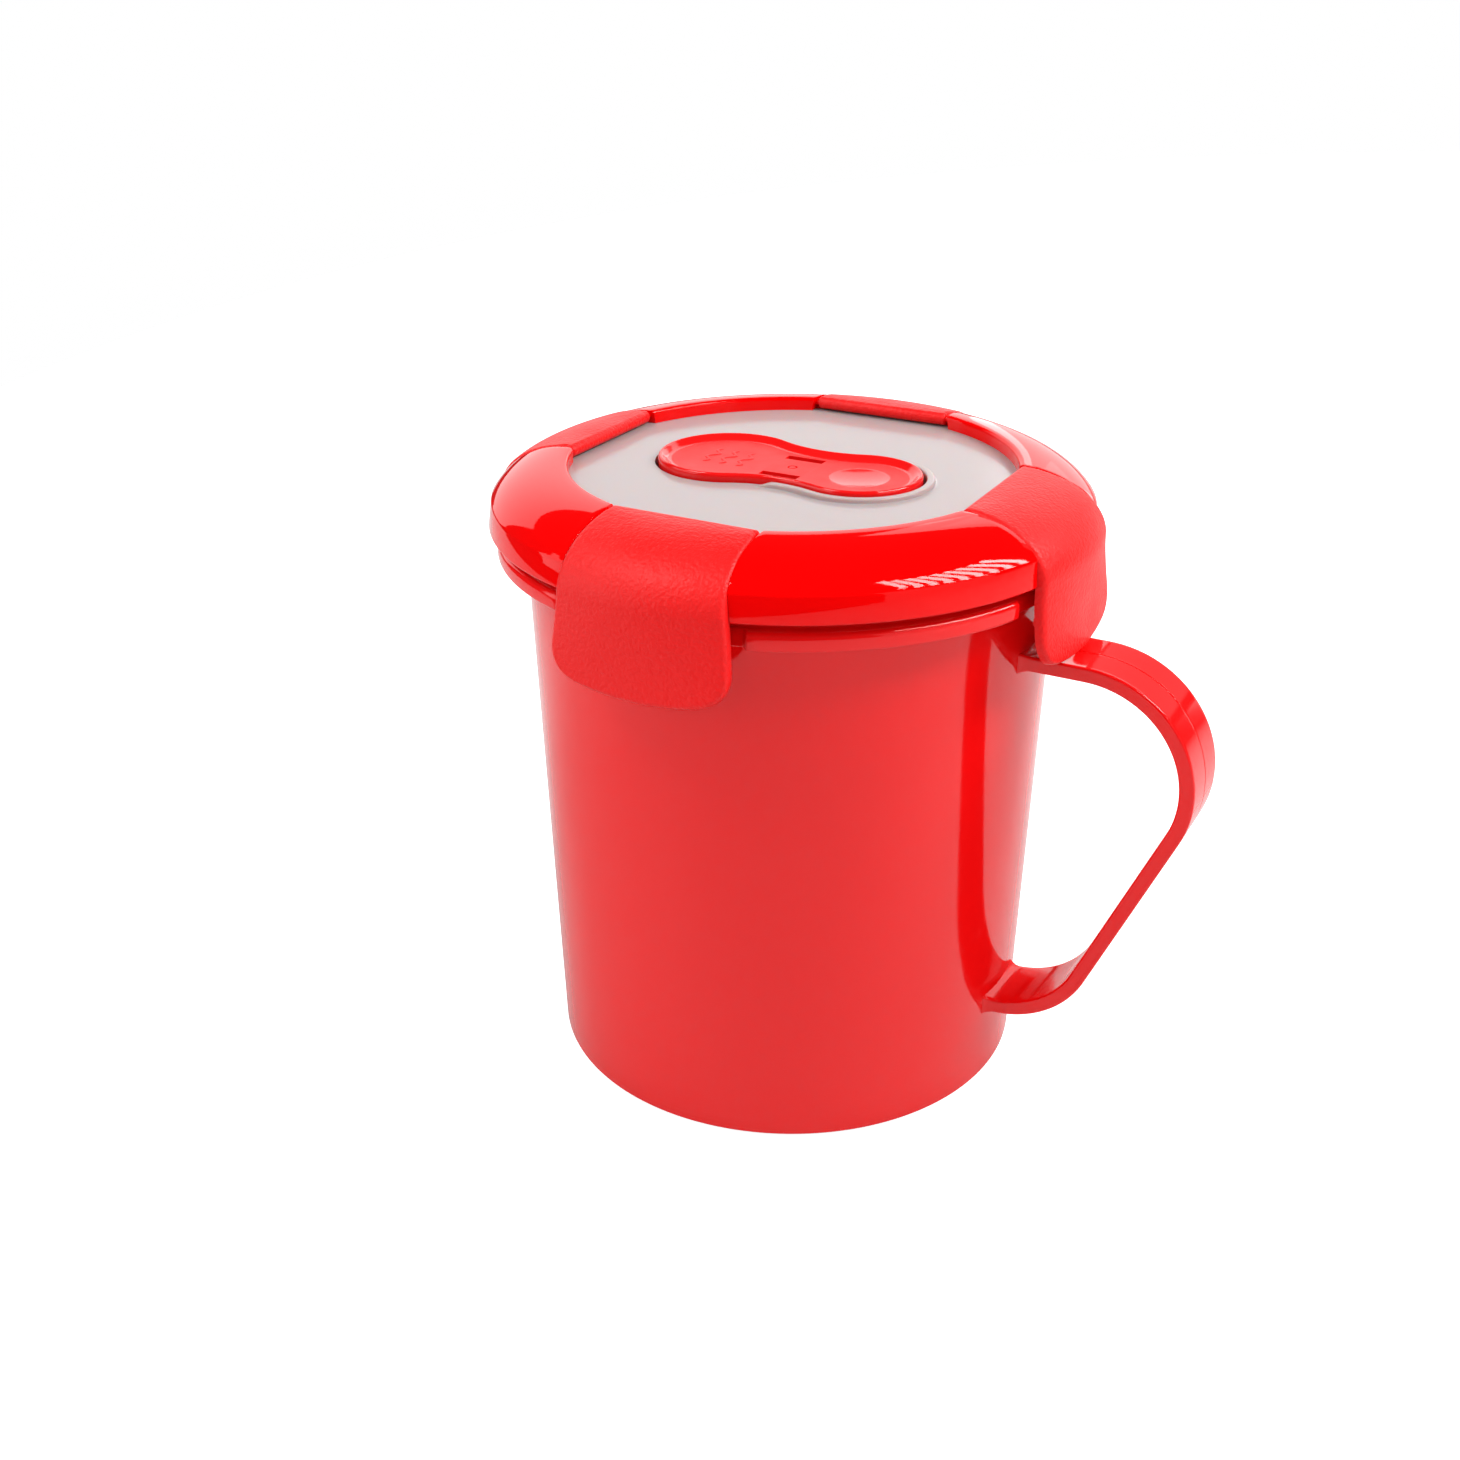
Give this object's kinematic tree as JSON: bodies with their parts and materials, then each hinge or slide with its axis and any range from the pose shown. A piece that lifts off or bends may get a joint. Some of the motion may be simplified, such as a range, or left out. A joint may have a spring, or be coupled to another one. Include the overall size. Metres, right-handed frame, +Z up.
{
  "type": "soup mug with clip lid",
  "caption": "Tall straight mug with a strap handle and a domed lid that hinged clips hold down, with a clear middle panel and a rocking steam vent.",
  "frame": {"origin": "centre of the mug's flat underside, on the axis of its body", "axes": "+Z up along the mug's axis; +X from the axis towards the handle; +Y to the back, with the front clip on -Y"},
  "size_m": [0.1388, 0.1152, 0.1181],
  "materials": {
    "mug_plastic": "smooth red with a soft sheen",
    "ring_plastic": "high gloss red",
    "clear_plastic": "clear, slightly frosted",
    "clip_plastic": "matte red with a fine grain",
    "vent_plastic": "red, satin face and gloss lip",
    "seal_rubber": "translucent soft silicone"
  },
  "bodies": {
    "mug_body": {"mug": "mug_plastic"},
    "lid": {"lid_ring": "ring_plastic", "lid_panel": "clear_plastic", "lid_seal": "seal_rubber"},
    "handle_side_clip": {"clip_handle_side": "clip_plastic"},
    "back_clip": {"clip_back": "clip_plastic"},
    "far_side_clip": {"clip_far_side": "clip_plastic"},
    "front_clip": {"clip_front": "clip_plastic"},
    "vent": {"vent_rocker": "vent_plastic", "vent_seal": "seal_rubber"}
  },
  "joints": [
    {"name": "lid_lift", "type": "slide", "parent": "mug_body", "child": "lid", "axis": [0, 0, 1], "range_m": [0, 0.08]},
    {"name": "handle_side_clip_hinge", "type": "hinge", "parent": "lid", "child": "handle_side_clip", "pos_m": [0.03981, 0, 0.1169], "axis": [0, -1, 0], "range_deg": [0, 110]},
    {"name": "back_clip_hinge", "type": "hinge", "parent": "lid", "child": "back_clip", "pos_m": [0, 0.03981, 0.1169], "axis": [1, 0, 0], "range_deg": [0, 110]},
    {"name": "far_side_clip_hinge", "type": "hinge", "parent": "lid", "child": "far_side_clip", "pos_m": [-0.03981, 0, 0.1169], "axis": [0, 1, 0], "range_deg": [0, 110]},
    {"name": "front_clip_hinge", "type": "hinge", "parent": "lid", "child": "front_clip", "pos_m": [0, -0.03981, 0.1169], "axis": [-1, 0, 0], "range_deg": [0, 110]},
    {"name": "vent_rock", "type": "hinge", "parent": "lid", "child": "vent", "pos_m": [0, 0, 0.1126], "axis": [0, 1, 0], "range_deg": [0, 10]}
  ]
}
